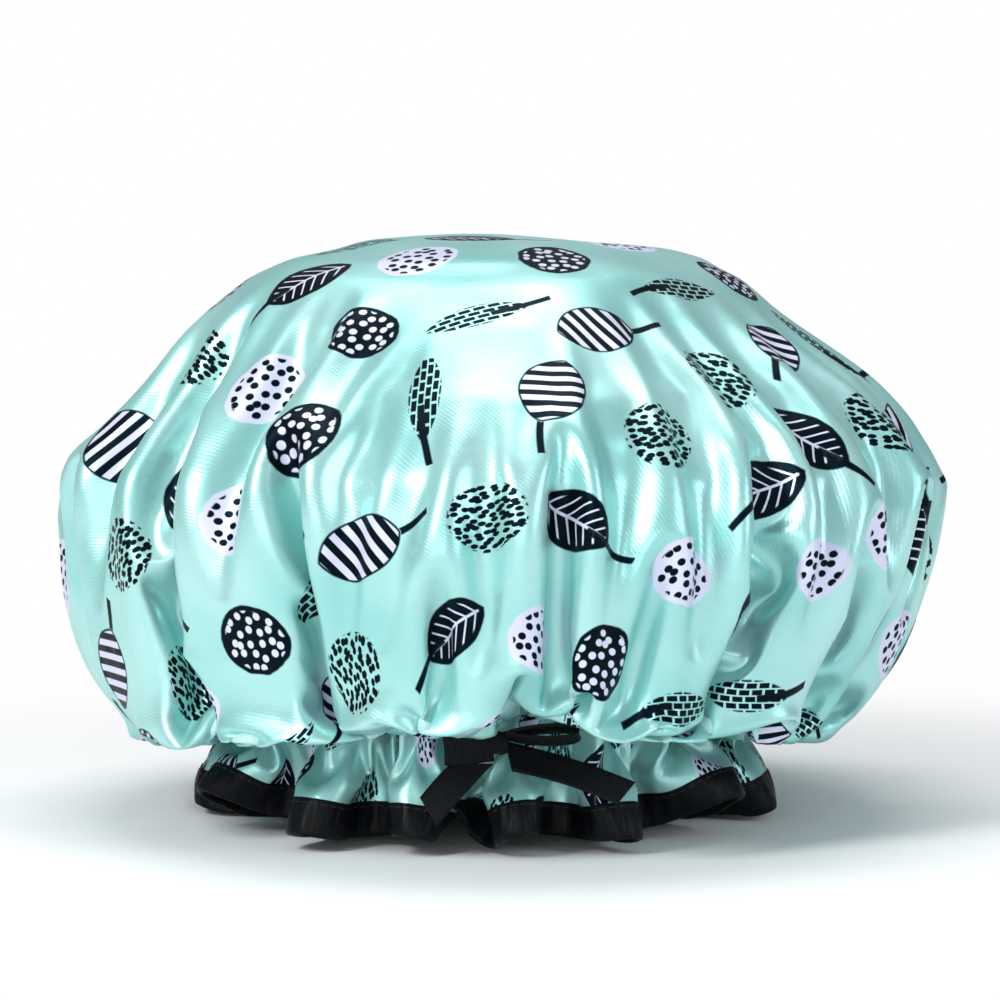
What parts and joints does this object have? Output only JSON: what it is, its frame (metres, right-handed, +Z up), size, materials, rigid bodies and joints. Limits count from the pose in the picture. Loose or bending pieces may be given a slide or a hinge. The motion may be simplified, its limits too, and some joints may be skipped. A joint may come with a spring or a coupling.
{
  "type": "shower cap",
  "caption": "Lined bouffant shower cap of printed satin, gathered on an elastic above a bound ruffle, with a grosgrain bow at the front.",
  "frame": {"origin": "centre of the cap's outline seen from above, on the surface that it stands on, which its bound hem touches", "axes": "+Z up through the crown, -Y towards the front, where the bow is, and +X to the viewer's right from the front"},
  "size_m": [0.2882, 0.3022, 0.184],
  "materials": {
    "satin_print": "glossy mint satin with a printed motif in near-black and pale lilac",
    "lining": "semi-matte white waterproof film on cloth",
    "elastic": "matte woven elastic",
    "binding_satin": "black satin bias tape",
    "grosgrain": "black ribbed grosgrain ribbon"
  },
  "bodies": {
    "root": {"satin_shell": "satin_print", "waterproof_lining": "lining", "elastic_casing": "lining", "elastic_band": "elastic", "hem_binding": "binding_satin", "bow_knot": "grosgrain", "bow_loop_right": "grosgrain", "bow_loop_left": "grosgrain", "bow_tail_right": "grosgrain", "bow_tail_left": "grosgrain"}
  },
  "joints": []
}
